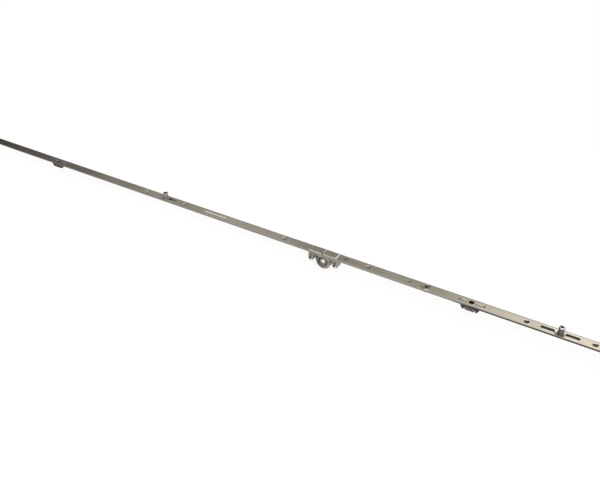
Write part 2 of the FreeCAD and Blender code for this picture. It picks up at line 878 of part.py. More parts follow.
def make_packer(name, place):
    """Moulded block that packs the strip to the sash and guides the rod in its channel."""
    body = new_body(name + "_packer")
    half = size.packer_length / 2
    low = -size.packer_half_depth
    high = size.packer_half_depth
    shoulder = strip_back - size.packer_straight

    def outline(sketch):
        polygon(sketch, [
            (-half, strip_back), (-half, shoulder), (size.packer_taper - half, packer_foot),
            (half - size.packer_taper, packer_foot), (half, shoulder), (half, strip_back),
        ])

    def notches(sketch):
        for side in (-1, 1):
            middle = size.packer_notch_place * side
            width = size.packer_notch_width / 2
            crown = packer_foot + size.packer_notch_height
            rectangle(sketch, middle - width, middle + width, packer_foot - size.packer_rib, crown)

    def rib_windows(sketch):
        for number in range(PACKER_WINDOWS):
            middle = size.packer_rib_pitch * (number - (PACKER_WINDOWS - 1) / 2)
            width = (size.packer_rib_pitch - size.packer_rib) / 2
            sill = packer_foot + size.packer_rib
            lintel = channel_floor - size.packer_rib
            rectangle(sketch, middle - width, middle + width, sill, lintel)

    def rivet_seats(sketch):
        for side in (-1, 1):
            circle(sketch, size.packer_rivet_offset * side, 0, size.packer_rivet_shank / 2)

    grow(body, "XZ", low, high, outline)
    cut(body, "YZ", -half, half, rod_channel)
    cut(body, "XZ", low, high, notches)
    cut(body, "XZ", low, low + size.packer_rib_depth, rib_windows)
    cut(body, "XZ", high - size.packer_rib_depth, high, rib_windows)
    cut(body, "XY", channel_floor - size.packer_rivet_seat, channel_floor, rivet_seats)
    cut(body, "XY", packer_foot, channel_floor, lambda sketch: circle(sketch, 0, 0, size.packer_pilot / 2))
    place_along(body, place)
    return body


# Locking cams

def make_cam_disc(name, place):
    """Flat disc that slides on the strip and hides the middle of the cam's slot."""
    body = new_body(name + "_cam_disc")
    bore = size.journal / 2 + size.journal_play
    rim = size.cam_disc / 2
    bevel = size.cam_disc_bevel
    turn(body, [
        (bore, disc_foot), (rim, disc_foot), (rim, disc_top - bevel),
        (rim - bevel, disc_top), (bore, disc_top),
    ])
    place_along(body, place)
    return body


def make_cam_stud(name, place):
    """Eccentric stud: a journal in the rod, a pin set off its axis and a head with a key socket."""
    body = new_body(name + "_cam_stud")
    journal = size.journal / 2
    foot = size.stud_foot / 2
    foot_top = washer_foot - size.cam_float
    turn(body, [
        (0, foot_top - size.stud_foot_height), (foot, foot_top - size.stud_foot_height), (foot, foot_top),
        (journal, foot_top), (journal, pin_foot), (0, pin_foot),
    ])
    off = size.eccentric

    def ring_of_flats(sides, flats, turned):
        reach = flats / (2 * math.cos(math.pi / sides))
        angles = [turned + 2 * math.pi * number / sides for number in range(sides)]
        corners = [(off + reach * math.cos(angle), reach * math.sin(angle)) for angle in angles]
        return lambda sketch: polygon(sketch, corners)

    grow(body, "XY", pin_foot, head_foot, lambda sketch: circle(sketch, off, 0, size.cam_pin / 2))
    grow(body, "XY", head_foot, head_top, ring_of_flats(8, size.cam_head_flats, math.pi / 8))
    ease_edges(body, "Chamfer", lambda edge: at_height(edge, head_top), size.cam_head_bevel)
    cut(body, "XY", head_top - size.socket_depth, head_top, ring_of_flats(6, size.socket_flats, 0.0))
    place_along(body, place)
    return body


def make_cam_roller(name, place):
    """Mushroom sleeve that turns freely on the stud's pin."""
    body = new_body(name + "_cam_roller")
    bore = size.cam_pin / 2 + size.journal_play
    foot = size.roller_foot / 2
    waist = size.roller_waist / 2
    crown = size.roller_crown / 2
    foot_top = roller_foot + size.roller_foot_height
    waist_height = roller_foot + size.roller_waist_place
    crown_foot = roller_top - size.roller_crown_height
    turn(body, [
        (bore, roller_foot), (foot, roller_foot), (foot, foot_top), (waist, foot_top),
        (waist, waist_height), (crown, crown_foot), (crown, roller_top), (bore, roller_top),
    ])

    def crown_rim(edge):
        return round_edge(edge, size.roller_crown, roller_top)

    def waist_ring(edge):
        return round_edge(edge, size.roller_waist, waist_height)

    ease_edges(body, "Fillet", crown_rim, size.roller_crown_round)
    ease_edges(body, "Fillet", waist_ring, size.roller_waist_round)
    place_along(body, place + size.eccentric)
    return body


def make_cam_washers():
    """Spring washers that give the eccentric studs their grip under the rod."""
    pieces = []
    for place in STATIONS.values():
        ring = round_bar("washer_ring", size.cam_washer / 2, size.cam_washer_thickness)
        set_place(ring, place, 0, washer_foot)
        bore = round_bar("washer_bore", size.journal / 2 + size.journal_play, size.cam_washer_thickness)
        set_place(bore, place, 0, washer_foot)
        washer = document.addObject("Part::Cut", "washer")
        washer.Base = ring
        washer.Tool = bore
        pieces.append(washer)
    return joined("cam_washers", pieces)


def make_all():
    pieces = [
        make_faceplate(), make_drive_rod(), make_follower_gear(), make_gear_case_near(), make_gear_case_far(),
        make_gear_cover(), make_case_rivets(), make_guide_rivets(), make_guide_eyelet(), make_centering_pin(),
        make_packer_rivets(), make_cam_washers(),
    ]
    for name, place in PACKERS.items():
        pieces.append(make_packer(name, place))
    for name, place in STATIONS.items():
        pieces += [make_cam_disc(name, place), make_cam_stud(name, place), make_cam_roller(name, place)]
    return pieces


def check(pieces):
    """Stops if anything failed to build, or if a cut took nothing away."""
    for item in document.Objects:
        if "Invalid" in item.State or "Error" in item.State:
            raise ValueError(item.Name + " failed to build")
        base = getattr(item, "BaseFeature", None)
        if base is not None and item.isDerivedFrom("PartDesign::Feature") and item not in TRIMS:
            if abs(item.Shape.Volume - base.Shape.Volume) < 0.0001:
                raise ValueError(item.Name + " changes nothing")
    for piece in pieces:
        if piece.Shape.isNull() or not piece.Shape.isValid():
            raise ValueError(piece.Label + " has no valid shape")


parts = make_all()
document.recompute()
check(parts)
os.makedirs("parts", exist_ok=True)
for part in parts:
    part.Shape.exportStep("parts/" + part.Label + ".step")
    print(part.Label, len(part.Shape.Solids), round(part.Shape.Volume, 1))
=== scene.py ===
# %% [markdown]
# # A window espagnolette, dressed for a photograph
# An espagnolette is the long steel strip along the edge of a window sash. A gear behind it, turned
# by the handle, slides a toothed rod to and fro, and the rod carries mushroom-shaped cams that lock
# the sash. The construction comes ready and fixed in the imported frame. This lesson gives it its
# looks: softened edges, plated and cast metal, moulded plastic, and the light of a product photograph.

# %% Load the frame and measure it
import json
import math

import bmesh
import bpy
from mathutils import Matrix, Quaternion, Vector


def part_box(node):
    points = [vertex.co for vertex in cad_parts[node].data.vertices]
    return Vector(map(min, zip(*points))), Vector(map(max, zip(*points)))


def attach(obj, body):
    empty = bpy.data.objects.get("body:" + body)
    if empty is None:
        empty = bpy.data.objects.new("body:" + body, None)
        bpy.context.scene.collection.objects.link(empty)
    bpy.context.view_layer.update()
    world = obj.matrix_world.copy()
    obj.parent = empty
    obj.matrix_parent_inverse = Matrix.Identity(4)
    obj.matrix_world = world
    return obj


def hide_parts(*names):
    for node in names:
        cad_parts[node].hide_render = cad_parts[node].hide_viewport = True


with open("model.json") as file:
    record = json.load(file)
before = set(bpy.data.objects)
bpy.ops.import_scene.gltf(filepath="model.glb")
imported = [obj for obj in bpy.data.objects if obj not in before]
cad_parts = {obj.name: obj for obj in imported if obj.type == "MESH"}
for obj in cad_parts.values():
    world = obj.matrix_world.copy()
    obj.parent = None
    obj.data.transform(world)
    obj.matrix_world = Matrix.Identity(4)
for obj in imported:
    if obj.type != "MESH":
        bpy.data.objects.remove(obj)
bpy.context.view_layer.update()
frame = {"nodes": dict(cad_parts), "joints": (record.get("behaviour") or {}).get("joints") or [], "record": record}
nodes = frame["nodes"]

# %% [markdown]
# ## Places that the looks depend on
# Wear and tone follow the mechanism: the discs rub beside the cam slots, and the cover's bevels
# shine. The frame's joints and boxes give most of those places, so they follow the construction. A
# few small ones, such as the screw holes, are written down where they are needed.

# %% Read the places from the frame
strip_low, strip_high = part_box("faceplate")
BACK = strip_low.z
HALF_STRIP = strip_high.y
joint_places = {joint["name"]: joint.get("pos_m") for joint in frame["joints"]}
UPPER_STATION = joint_places["upper_cam_adjust"][0]
LOWER_STATION = joint_places["lower_cam_adjust"][0]
STATIONS = [UPPER_STATION, LOWER_STATION]
STROKE = next(joint["range_m"][1] for joint in frame["joints"] if joint["name"] == "rod_slide")
packer_boxes = [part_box(name) for name in ("upper_packer", "lower_packer")]
PACKER_PLACES = [sum(corner.x for corner in box) / 2 for box in packer_boxes]
ROLLER_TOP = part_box("upper_cam_roller")[1].z
LOWEST = min(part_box(name)[0].z for name in nodes)
print("face at", strip_high.z, "stations", STATIONS, "stroke", STROKE, "lowest point", LOWEST)

# %% [markdown]
# ## The camera
# The photograph was taken from above and from the lower end of the strip, so that end is near and
# large and the far end runs out of the picture. Known sizes in it, such as the strip's width and the
# spacing of the screw posts, fix the camera: where it stands, which way it looks and how long its
# lens is. It is turned by a hair, because the strip in the photograph isn't perfectly straight.

# %% Set up the camera
CAMERA_PLACE = Vector((0.3944, -0.7128, 0.5682))
CAMERA_LOOK = Vector((-0.439, 0.712, -0.5477))
PHOTO_WIDTH = 600
FOCAL_PIXELS = 635.0
LIFT_PIXELS = 1.0
ROLL_DEGREES = 0.16
SENSOR = 36.0
CLIP_START = 0.01

camera_data = bpy.data.cameras.new("photo_camera")
camera_data.sensor_width = SENSOR
camera_data.lens = FOCAL_PIXELS / PHOTO_WIDTH * SENSOR
camera_data.clip_start = CLIP_START
camera = bpy.data.objects.new("photo_camera", camera_data)
bpy.context.scene.collection.objects.link(camera)
level = CAMERA_LOOK.normalized().to_track_quat("-Z", "Y")
lift = Quaternion((1, 0, 0), math.atan(LIFT_PIXELS / FOCAL_PIXELS))
roll = Quaternion((0, 0, 1), math.radians(ROLL_DEGREES))
camera.location = CAMERA_PLACE
camera.rotation_mode = "QUATERNION"
camera.rotation_quaternion = level @ lift @ roll
bpy.context.scene.camera = camera
print("lens", round(camera_data.lens, 2), "mm")

# %% [markdown]
# ## Sums on surfaces
# A finish is a sum of small effects: a base tone, slow stains, brushing, wear. Building each sum
# from nodes by hand is slow to write and slower to read. One small class wraps a node's output and
# lets Python's own signs add the Math nodes, so that a finish reads like a formula.


# %% Wrap a socket so that it can be added and multiplied
class Wire:
    """A number or vector that changes over a surface: one output of a node."""

    def __init__(self, tree, socket):
        self.tree = tree
        self.socket = socket

    def sum(self, operation, first, second):
        return self.tree.node("ShaderNodeMath", {"operation": operation}, {0: first, 1: second})

    def __add__(self, other):
        return self.sum("ADD", self, other)

    def __radd__(self, other):
        return self.sum("ADD", other, self)

    def __sub__(self, other):
        return self.sum("SUBTRACT", self, other)

    def __rsub__(self, other):
        return self.sum("SUBTRACT", other, self)

    def __mul__(self, other):
        return self.sum("MULTIPLY", self, other)

    def __rmul__(self, other):
        return self.sum("MULTIPLY", other, self)

    def __truediv__(self, other):
        return self.sum("DIVIDE", self, other)

    def __rtruediv__(self, other):
        return self.sum("DIVIDE", other, self)

    def __neg__(self):
        return self.sum("SUBTRACT", 0.0, self)

    def __abs__(self):
        return self.sum("ABSOLUTE", self, 0.0)


# %% [markdown]
# The tree around it has one method for every other kind of node. Settings, such as an operation, are
# set first, because they can change which sockets a node has. The short methods below it only give
# names to what the finishes ask for again and again.


# %% Wrap a node tree
class Tree:
    """A material's or the world's nodes, emptied and ready to be filled."""

    def __init__(self, owner):
        owner.use_nodes = True
        self.nodes = owner.node_tree.nodes
        self.links = owner.node_tree.links
        self.nodes.clear()

    def node(self, kind, settings=None, inputs=None, output=0):
        made = self.nodes.new(kind)
        for name, value in (settings or {}).items():
            setattr(made, name, value)
        for name, value in (inputs or {}).items():
            self.feed(made.inputs[name], value)
        return Wire(self, made.outputs[output]) if made.outputs else None

    def feed(self, socket, value):
        if isinstance(value, Wire):
            self.links.new(value.socket, socket)
        else:
            socket.default_value = value

    def smooth(self, low, high, value):
        """0 below low, 1 above high and an even S between them."""
        settings = {"interpolation_type": "SMOOTHSTEP"}
        inputs = {"Value": value, "From Min": low, "From Max": high}
        return self.node("ShaderNodeMapRange", settings, inputs)

    def inside(self, fade, value):
        """1 below a fade, such as (0.02, 0.03), and 0 above it."""
        return 1.0 - self.smooth(*fade, value)

    def larger(self, first, second):
        return self.node("ShaderNodeMath", {"operation": "MAXIMUM"}, {0: first, 1: second})

    def blend(self, share, first, second):
        """A colour between two colours."""
        settings = {"data_type": "RGBA"}
        return self.node("ShaderNodeMix", settings, {"Factor": share, 6: first, 7: second}, output=2)

    def stretched(self, vector, along):
        """The place on the surface, measured in other steps along each axis."""
        return self.node("ShaderNodeVectorMath", {"operation": "MULTIPLY"}, {0: vector, 1: along})

    def noise(self, vector, scale, detail=2.0, roughness=0.5):
        inputs = {"Vector": vector, "Scale": scale, "Detail": detail, "Roughness": roughness}
        return self.node("ShaderNodeTexNoise", {}, inputs)


# %% [markdown]
# ## The world and the lamps
# Metal is mostly a picture of what stands around it. In the photograph the strip fades from nearly
# black at its far end to pale at its near end, although its plating is most likely the same all
# over: the two ends seem to mirror a dark and a bright part of the room. The fade could be painted on
# the strip, but then it would stay there under any light. So the world is painted by direction, dark
# towards the far end and bright behind the near one. Only the camera itself sees it as white paper,
# because a mirror of white paper is equally pale from end to end.

# %% Paint the world by direction
DARKEST = 0.0
STEPS = [
    (-0.75, -0.62, 0.55),
    (-0.50, -0.38, -0.13),
    (-0.21, -0.07, 0.84),
    (-0.10, 0.20, 0.52),
]
HORIZON_SHARE = 0.4
HORIZON = (0.05, 0.42)
ROOM_TINT = (1.0, 0.99, 0.97, 1)
WHITE = (1, 1, 1, 1)

world = bpy.data.worlds.new("studio")
bpy.context.scene.world = world
sky = Tree(world)
direction = sky.node("ShaderNodeTexCoord", output="Generated")
split = sky.node("ShaderNodeSeparateXYZ", {}, {"Vector": direction})
along = Wire(sky, split.socket.node.outputs["X"])
up = Wire(sky, split.socket.node.outputs["Z"])
light = DARKEST
for low, high, rise in STEPS:
    light = light + sky.smooth(low, high, along) * rise
light = light * (HORIZON_SHARE + sky.smooth(*HORIZON, up) * (1.0 - HORIZON_SHARE))
room = sky.node("ShaderNodeBackground", {}, {"Color": ROOM_TINT, "Strength": light})
paper = sky.node("ShaderNodeBackground", {}, {"Color": WHITE, "Strength": 1.0})
seen = sky.node("ShaderNodeLightPath", output="Is Camera Ray")
both = sky.node("ShaderNodeMixShader", {}, {0: seen, 1: room, 2: paper})
sky.node("ShaderNodeOutputWorld", {}, {"Surface": both})
print("world from", DARKEST, "to", DARKEST + sum(rise for low, high, rise in STEPS))

# %% [markdown]
# A soft box does the rest. It hangs above and in front, where the sloped near edges of the cover
# and the rollers mirror it, and it lights the cast case and the plastic.

# %% Hang the soft box
BOX_PLACE = Vector((-0.2, -1.0, 1.35))
BOX_AIM = Vector((0, 0, 0))
BOX_SIZE = (2.2, 0.9)
BOX_POWER = 12.0

box_light = bpy.data.lights.new("top_box", "AREA")
box_light.shape = "RECTANGLE"
box_light.size, box_light.size_y = BOX_SIZE
box_light.energy = BOX_POWER
top_box = bpy.data.objects.new("top_box", box_light)
bpy.context.scene.collection.objects.link(top_box)
top_box.location = BOX_PLACE
top_box.rotation_mode = "QUATERNION"
top_box.rotation_quaternion = (BOX_AIM - BOX_PLACE).to_track_quat("-Z", "Y")
print("soft box", BOX_SIZE, "m,", BOX_POWER, "watts")

# %% [markdown]
# ## The floor
# The strip lies over a pale table. The camera sees it as white paper that still holds a trace of
# shadow: most of it shines by itself for the camera and for mirror rays, and the rest is plain
# white paint, lit by the lamps.

# %% Lay the floor
FLOOR_SIZE = 12.0
FLOOR_PAINT = (0.9, 0.9, 0.9, 1)
SHINE_SHARE = 0.8
FLOOR_GAP = 0.0005

bpy.ops.mesh.primitive_plane_add(size=FLOOR_SIZE, location=(0, 0, LOWEST - FLOOR_GAP))
floor = bpy.context.object
floor.name = "floor"
floor_finish = bpy.data.materials.new("pale_table")
table = Tree(floor_finish)
path = table.node("ShaderNodeLightPath", output="Is Camera Ray")
mirrored = Wire(table, path.socket.node.outputs["Is Glossy Ray"])
shine = table.node("ShaderNodeEmission", {}, {"Color": WHITE, "Strength": 1.0})
paint = table.node("ShaderNodeBsdfDiffuse", {}, {"Color": FLOOR_PAINT})
share = (path + mirrored) * SHINE_SHARE
surface = table.node("ShaderNodeMixShader", {}, {0: share, 1: paint, 2: shine})
table.node("ShaderNodeOutputMaterial", {}, {"Surface": surface})
floor.data.materials.append(floor_finish)
print("floor at", round(LOWEST - FLOOR_GAP, 4))

# %% [markdown]
# ## Starting a finish
# Every finish here is one principled shader. What is the same all over is set on its own sockets.
# What changes over the surface is a sum of textures and masks, measured in metres, and it goes only
# to the colour, the roughness, the metallic share and the normal.


# %% Make a material with one principled shader
class Finish(Tree):
    """A material with one principled shader and the place on the surface ready to use."""

    def __init__(self, name, metallic, **fixed):
        self.material = bpy.data.materials.new(name)
        super().__init__(self.material)
        self.shader = self.node("ShaderNodeBsdfPrincipled").socket.node
        self.shader.inputs["Metallic"].default_value = metallic
        for socket, value in fixed.items():
            self.shader.inputs[socket.replace("_", " ")].default_value = value
        self.node("ShaderNodeOutputMaterial", {}, {"Surface": Wire(self, self.shader.outputs[0])})
        coordinates = self.node("ShaderNodeTexCoord", output="Object")
        self.place = coordinates
        self.normal = Wire(self, coordinates.socket.node.outputs["Normal"])
        self.x, self.y, self.z = self.axes(self.place)

    def axes(self, vector):
        parts = self.node("ShaderNodeSeparateXYZ", {}, {"Vector": vector}).socket.node.outputs
        return [Wire(self, part) for part in parts]

    def set(self, socket, value):
        self.feed(self.shader.inputs[socket], value)

    def distance(self, first, second):
        """How far a place is from a line, from its two steps across that line."""
        step = self.node("ShaderNodeCombineXYZ", {}, {"X": first, "Y": second})
        return self.node("ShaderNodeVectorMath", {"operation": "LENGTH"}, {0: step}, output=1)

    def spot(self, first, second, radius, fade=0.0002):
        """1 within a radius of a line and 0 a fade further out."""
        return self.inside((radius, radius + fade), self.distance(first, second))

    def bump(self, height, depth, strength):
        """A relief of so many metres, laid on the surface."""
        inputs = {"Height": height, "Distance": depth, "Strength": strength}
        return self.node("ShaderNodeBump", {}, inputs)


# %% [markdown]
# ## Zinc on the strip
# The strip is cold-rolled steel, brushed along its length and then plated with zinc, which leaves a
# warm silver with faint stains. The brush marks are finer than any mesh could carry, so noise that
# is drawn out along X stands for them, in the roughness and in the normal.

# %% Brush and stain the zinc
STRIP_TONE = (0.60, 0.545, 0.465, 1)
STRIP_STAIN = (0.50, 0.46, 0.38, 1)
STAIN_STEPS = 9.0
STAIN_SHARE = (0.40, 0.66)
SPECK_STEPS = 260.0
BRUSH_ALONG = 45.0
BRUSH_ACROSS = 5200.0


def brushed(finish, vector, along, across):
    """Lines that run along X: noise drawn out along it."""
    drawn = finish.stretched(vector, (along, across, across))
    return finish.noise(drawn, 1.0, detail=3.0, roughness=0.6)


strip = Finish("brushed_zinc", 1.0)
lines = brushed(strip, strip.place, BRUSH_ALONG, BRUSH_ACROSS)
stains = strip.noise(strip.place, STAIN_STEPS, detail=3.0)
specks = strip.noise(strip.place, SPECK_STEPS, detail=4.0, roughness=0.7)
stained = strip.blend(strip.smooth(*STAIN_SHARE, stains), STRIP_TONE, STRIP_STAIN)
print("zinc and its stains", len(strip.nodes), "nodes")

# %% [markdown]
# The photograph shows other tones on other surfaces of the strip: its sheared sides are duller than
# the face, and its sloped sinks, its arrises and its far rim get painted shade. They could be separate
# materials, but masks blend softly and need no cuts in the mesh. A mask is 1 on one kind of surface
# and 0 on the others. The normal tells the face from the sides and slopes, and the distance from the
# middle line tells the strip's outer sides from the walls of its holes.

# %% Tell the strip's surfaces apart
SIDE_TILT = (0.3, 0.9)
FLAT_TILT = (0.93, 0.99)
SINK_REACH = (0.0045, 0.0050)
OUTER_SIDE = (HALF_STRIP - 0.0015, HALF_STRIP - 0.0005)
ARRIS_BAND = (HALF_STRIP - 0.0004, HALF_STRIP - 0.0002)
FAR_RIM = (HALF_STRIP - 0.0028, HALF_STRIP - 0.0010)
RIM_GROWS = (0.02, 0.20)
RIM_LEAST = 0.25
LOWER_END = (0.195, 0.245)
UPPER_END = (-0.72, -0.40)

upright = abs(strip.axes(strip.normal)[2])
across = abs(strip.y)
side = strip.inside(SIDE_TILT, upright)
face = 1.0 - side
flat = strip.smooth(*FLAT_TILT, upright)
sloped = 1.0 - flat
# Painted shade goes on the sloped sinks; it is lighter at the lower end.
sink = face * sloped * strip.inside(SINK_REACH, across)
# Painted shade on the sloped arrises along the long edges.
arris = sloped * strip.smooth(*ARRIS_BAND, across) * face
outer_side = strip.smooth(*OUTER_SIDE, across)
inner_side = 1.0 - outer_side
rim_share = RIM_LEAST + strip.smooth(*RIM_GROWS, strip.x) * (1.0 - RIM_LEAST)
# Painted shade along the far rim, growing towards the lower end.
rim = strip.smooth(*FAR_RIM, strip.y) * rim_share * face
# Painted shade: the sides and the walls of the holes darken towards both ends of the strip.
lower_end = strip.smooth(*LOWER_END, strip.x)
upper_end = strip.inside(UPPER_END, strip.x)
print("masks for the strip's surfaces", len(strip.nodes), "nodes")

# %% [markdown]
# ## Marks of use, painted shade and light on the strip
# The discs of the cams polish a track on both sides of each cam slot. The walls of the slots get
# painted shade, apart from the part that lies before the upper cam, which gets painted light. All
# these marks could be painted on an image. Masks by place need none, and they take their places from
# the mechanism, so they stay on it from every side and at every pose.

# %% Mark what the cams have touched, and paint shade and light on the slot walls
TRACK_HALF = 0.0074
TRACK_FADE = 0.0012
TRACK_SPARE = 0.004
SLOT_SHADE_REACH = (0.027, 0.028)
SHADE_AHEAD_STARTS = (0.003, 0.006)
SHADE_AHEAD_ENDS = (0.008, 0.018)
SLOT_LIGHT_ENDS = (-0.002, 0.002)
SLOT_LIGHT_REACH = (0.026, 0.028)

beside_slot = strip.inside((TRACK_HALF - TRACK_FADE, TRACK_HALF), across)
track = 0.0
for station in STATIONS:
    swept = strip.inside((STROKE + TRACK_SPARE, STROKE + TRACK_HALF), abs(strip.x - station))
    track = track + swept * beside_slot * face
# Painted shade on the slot walls by the lower cam and past the upper one, painted light before it.
slot_wall_shade = strip.inside(SLOT_SHADE_REACH, abs(strip.x - LOWER_STATION)) * inner_side
ahead = strip.x - UPPER_STATION
shade_ahead = strip.smooth(*SHADE_AHEAD_STARTS, ahead) * strip.inside(SHADE_AHEAD_ENDS, ahead) * inner_side
slot_wall_light = strip.inside(SLOT_LIGHT_ENDS, ahead) * strip.inside(SLOT_LIGHT_REACH, abs(ahead)) * inner_side
print("tracks and slot walls for", len(STATIONS), "cams,", len(strip.nodes), "nodes")

# %% [markdown]
# Small holes get painted shade inside: the screw holes and the hole over the lower packer. The near
# sides round the packers' oval rivets get painted shade too. The walls of the sight slot are the
# other way round and get a painted highlight, with faint painted shade beside them. Each hole gets
# its own round mask, which is simpler than selecting faces and stays soft at its edge.

# %% Paint shade into the holes and round the rivets, and a highlight into the sight slot
SCREW_OFFSET = 0.0436
GEAR_SCREW = 0.0745
SCREW_PLACES = [station + way * SCREW_OFFSET for station in STATIONS for way in (-1, 1)]
SCREW_PLACES += [-GEAR_SCREW, GEAR_SCREW]
PIT_RADIUS = 0.0030
PIT_FADE = 0.0004
WELL_RADIUS = 0.0041
RIVET_OFFSET = 0.0105
RIVET_BAR = 0.0027
RIVET_HALF = 0.0018
RIVET_SAG = 0.0006
RIVET_FADE = 0.0004
RIVET_PLACES = [middle + way * RIVET_OFFSET for middle in PACKER_PLACES for way in (-1, 1)]
SIGHT_PLACE = -0.2138
SIGHT_ENDS = (0.0235, 0.0240)
SIGHT_EDGES = (0.0025, 0.0035)

# Painted shade inside the screw holes.
pit = 0.0
for place in SCREW_PLACES:
    pit = pit + strip.spot(strip.x - place, strip.y, PIT_RADIUS, PIT_FADE) * sloped
# Painted shade in the hole over the lower packer.
well = strip.spot(strip.x - PACKER_PLACES[1], strip.y, WELL_RADIUS)
# Painted shade on the near side round the packers' oval rivets.
rivet_shade = 0.0
for place in RIVET_PLACES:
    beyond = strip.larger(abs(strip.x - place) - RIVET_BAR, 0.0)
    rivet_shade = rivet_shade + strip.spot(beyond, strip.y + RIVET_SAG, RIVET_HALF, RIVET_FADE) * flat
# Painted highlight on the walls of the sight slot, and faint painted shade beside it.
sight = strip.inside(SIGHT_ENDS, abs(strip.x - SIGHT_PLACE)) * inner_side
beside_sight_shade = sight * strip.inside(SIGHT_EDGES, across)
print("dark holes", len(SCREW_PLACES) + 1, "rivets with dirt", len(RIVET_PLACES))

# %% [markdown]
# Three marks lie near the gear. The face beside it is a little duller, as if it had been handled
# the most. A small hole at the end of the cover's centre line gets painted shade. The sheared
# centring pin has left a red-brown smear around it. They are masks too, so that they can be laid
# over the rest.

# %% Mark the handled face, the dot and the smear
HANDLED_REACH = (0.020, 0.110)
DOT_PLACE = -0.0065
DOT_REACH = 0.0014
PIN_PLACE = 0.0374
SMEAR_RADIUS = 0.0020
SMEAR_FADE = 0.0028

handled = strip.inside(HANDLED_REACH, abs(strip.x))
# Painted shade in the small hole at the end of the cover's centre line.
dot = strip.spot(strip.x, strip.y - DOT_PLACE, DOT_REACH) * inner_side
smear = strip.spot(strip.x - PIN_PLACE, strip.y, SMEAR_RADIUS, SMEAR_FADE)
print("all masks of the strip", len(strip.nodes), "nodes")

# %% [markdown]
# Now the masks lay one tone over another: plating, wear and dirt as they lie on the real strip, and
# painted shade and light among them. A list of layers is easier to read and to reorder than a chain
# of calls. The face comes first, then the sheared sides and the walls of the holes in a list of their
# own, and last the arrises and the dot, which lie over both. Where a mask has a factor, the layer
# below shows through. The tones and their places are read from the photograph. The dark tones of
# the far rim, the sinks and arrises, the holes, the slot walls, the band beside the sight slot, the
# dot, the rivets' near sides and the strip's ends are painted shade, and the pale walls of the sight
# slot and before the upper cam are painted light.

# %% Lay the tones over the strip
STRIP_RIM_SHADE = (0.30, 0.285, 0.265, 1)
STRIP_RUBBED = (0.80, 0.77, 0.72, 1)
STRIP_SINK_SHADE = (0.16, 0.15, 0.135, 1)
STRIP_SHADE = (0.055, 0.05, 0.045, 1)
STRIP_DULL = (0.33, 0.30, 0.255, 1)
STRIP_SMEAR = (0.30, 0.20, 0.16, 1)
STRIP_WALL = (0.40, 0.38, 0.35, 1)
STRIP_SIDE = (0.30, 0.285, 0.26, 1)
STRIP_SLOT_SHADE = (0.13, 0.105, 0.085, 1)
STRIP_SLOT_LIGHT = (0.66, 0.63, 0.58, 1)
STRIP_SIGHT_HIGHLIGHT = (0.80, 0.77, 0.72, 1)
STRIP_ARRIS_SHADE = (0.11, 0.105, 0.095, 1)
FACE_LAYERS = [
    (rim, STRIP_RIM_SHADE),
    (track * 0.2, STRIP_RUBBED),
    (sink * (1.0 - lower_end * 0.7), STRIP_SINK_SHADE),
    (pit * (0.6 + lower_end * 0.3), STRIP_SHADE),
    (handled * 0.55, STRIP_DULL),
    (beside_sight_shade * 0.25, STRIP_SINK_SHADE),
    (well * sloped, STRIP_SHADE),
    (rivet_shade * 0.9, STRIP_SHADE),
    (smear * 0.6, STRIP_SMEAR),
]
WALL_LAYERS = [
    (outer_side, STRIP_SIDE),
    # painted shade on the sides and walls towards both ends
    (upper_end * 0.75, STRIP_SHADE),
    (lower_end * 0.9, STRIP_SHADE),
    (slot_wall_shade, STRIP_SLOT_SHADE),
    (shade_ahead, STRIP_SLOT_SHADE),
    (slot_wall_light, STRIP_SLOT_LIGHT),
    (well, STRIP_SHADE),
    (sight, STRIP_SIGHT_HIGHLIGHT),
]


def layered(finish, tone, layers):
    """A tone with each layer's own tone laid over it, in their order."""
    for share, layer in layers:
        tone = finish.blend(share, tone, layer)
    return tone


wall_tone = layered(strip, STRIP_WALL, WALL_LAYERS)
LAST_LAYERS = [(side, wall_tone), (arris, STRIP_ARRIS_SHADE), (dot, STRIP_SHADE)]
strip.set("Base Color", layered(strip, stained, FACE_LAYERS + LAST_LAYERS))
print("layers", len(FACE_LAYERS + WALL_LAYERS + LAST_LAYERS))

# %% [markdown]
# The roughness follows the same masks: sheared sides are rougher and the polished tracks smoother.
# Only the sight slot's walls lose most of their metallic share, because a narrow pale wall reads
# more like paint than like a mirror. The normal carries the brush marks, a few thousandths of a
# millimetre deep.

# %% Join the strip's finish
STRIP_ROUGHNESS = 0.24
BRUSH_DEPTH = 0.000004
BRUSH_STRENGTH = 0.6

strip.set("Roughness", STRIP_ROUGHNESS + lines * 0.08 + specks * 0.05 + side * 0.20 - track * 0.04)
strip.set("Metallic", 1.0 - side * sight * 0.9)
strip.set("Normal", strip.bump(lines, BRUSH_DEPTH, BRUSH_STRENGTH))
print("strip finish", len(strip.nodes), "nodes")

# %% [markdown]
# ## The small plated pieces
# The other plated pieces share that recipe with less of everything. Each could have its own nodes,
# but one function keeps them alike and makes them all from a tone, a roughness and how coarse the
# marks of making are. It keeps the stained tone as `base`, so that a piece can have more laid over it.

# %% Plate the small pieces
STAIN_FINE_STEPS = 120.0
STAIN_FINE_SHARE = (0.42, 0.70)
MARK_DEPTH = 0.000003
MARK_STRENGTH = 0.5


def plated(name, tone, roughness, line_along=300.0, line_across=4000.0, stain=0.12):
    """Plated steel with fine marks of making and slow stains."""
    finish = Finish(name, 1.0)
    marks = brushed(finish, finish.place, line_along, line_across)
    slow = finish.noise(finish.place, STAIN_FINE_STEPS, detail=3.0)
    dull = tuple(channel * (1 - 2 * stain) for channel in tone[:3]) + (1,)
    finish.base = finish.blend(finish.smooth(*STAIN_FINE_SHARE, slow), tone, dull)
    finish.set("Base Color", finish.base)
    finish.set("Roughness", roughness + marks * 0.10 + slow * 0.05)
    finish.set("Normal", finish.bump(marks, MARK_DEPTH, MARK_STRENGTH))
    return finish


